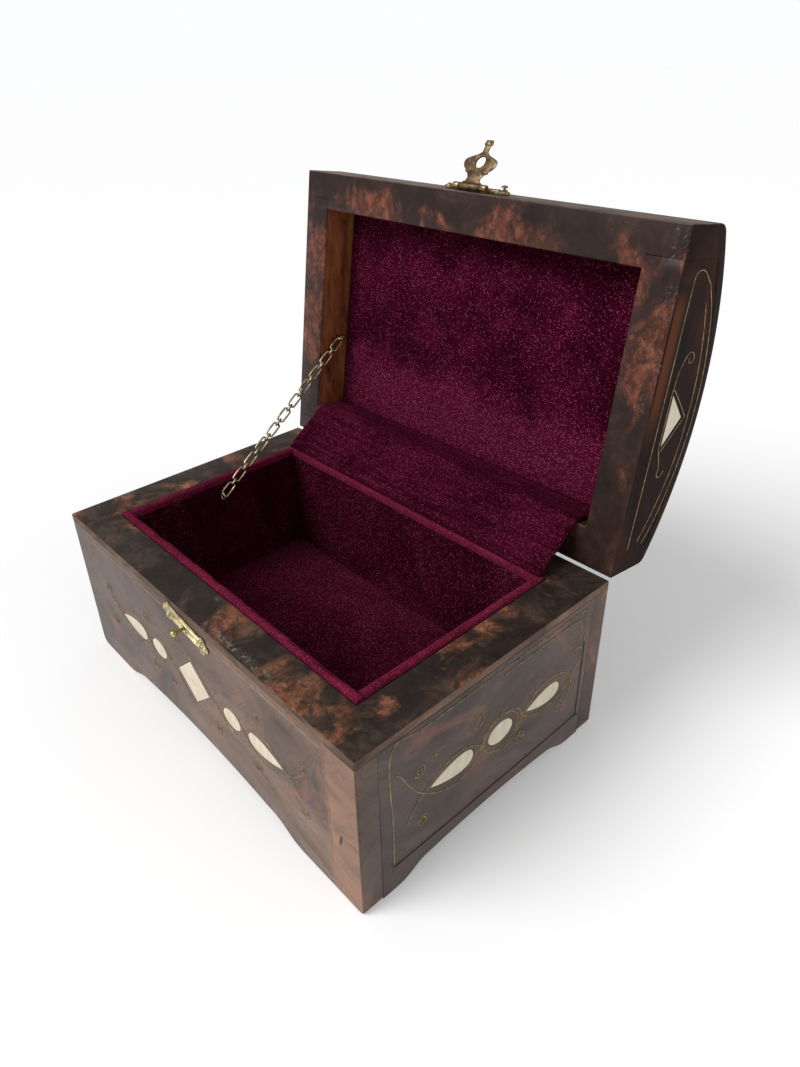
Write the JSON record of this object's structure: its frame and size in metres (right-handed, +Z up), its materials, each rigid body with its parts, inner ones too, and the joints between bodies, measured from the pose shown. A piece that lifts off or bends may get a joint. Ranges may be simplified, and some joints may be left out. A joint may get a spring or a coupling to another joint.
{
  "type": "jewelry box",
  "caption": "Rectangular wooden jewelry box on bracket feet, with an arched hinged lid held open by a chain, a brass hasp, bone inlay and a velvet lining.",
  "frame": {"origin": "on the ground, at the middle of the open box's outline", "axes": "+X to the box's right, +Y to the back where the hinges are, +Z up, with the lid standing open"},
  "size_m": [0.23, 0.2146, 0.2561],
  "materials": {
    "figured_wood": "satin lacquer",
    "burl": "gloss lacquer",
    "plain_wood": "raw",
    "velvet": "velvet pile",
    "bone": "satin",
    "brass": "worn polish",
    "antique_brass": "darkened"
  },
  "bodies": {
    "box": {"front_board": "figured_wood", "rear_board": "figured_wood", "left_side_board": "figured_wood", "right_side_board": "figured_wood", "front_rim_strip": "burl", "rear_rim_strip": "burl", "left_rim_strip": "burl", "right_rim_strip": "burl", "bottom_board": "plain_wood", "floor_pad": "velvet", "front_lining": "velvet", "rear_lining": "velvet", "left_lining": "velvet", "right_lining": "velvet", "front_inlay_left_leaf": "bone", "front_inlay_left_oval": "bone", "front_inlay_diamond_upper": "bone", "front_inlay_diamond_lower": "bone", "front_inlay_right_oval": "bone", "front_inlay_right_leaf": "bone", "right_inlay_front_leaf": "bone", "right_inlay_oval": "bone", "right_inlay_rear_leaf": "bone", "left_inlay_front_leaf": "bone", "left_inlay_oval": "bone", "left_inlay_rear_leaf": "bone", "strike_plate": "brass", "strike_staple": "brass", "hinge_left_box_leaf": "brass", "hinge_right_box_leaf": "brass", "hinge_left_pin": "brass", "hinge_right_pin": "brass", "chain_box_eye": "brass", "lid_chain": "brass", "hinge_cloth": "velvet"},
    "lid": {"lid_front_rail": "burl", "lid_rear_rail": "burl", "lid_left_end": "burl", "lid_right_end": "burl", "lid_top_panel": "burl", "lid_lining": "velvet", "lid_right_inlay": "bone", "lid_left_inlay": "bone", "hinge_left_lid_leaf": "brass", "hinge_right_lid_leaf": "brass", "hasp_plate": "brass", "hasp_pin": "antique_brass", "chain_lid_eye": "brass"},
    "flap": {"hasp_flap": "antique_brass"}
  },
  "joints": [
    {"name": "lid_hinge", "type": "hinge", "parent": "box", "child": "lid", "pos_m": [0, 0.05057, 0.08715], "axis": [1, 0, 0], "range_deg": [0, 98.3], "deforming": ["lid_chain", "hinge_cloth"]},
    {"name": "hasp_hinge", "type": "hinge", "parent": "lid", "child": "flap", "pos_m": [0.0015, 0.07632, 0.23766], "axis": [1, 0, 0], "range_deg": [-50, 118]}
  ]
}
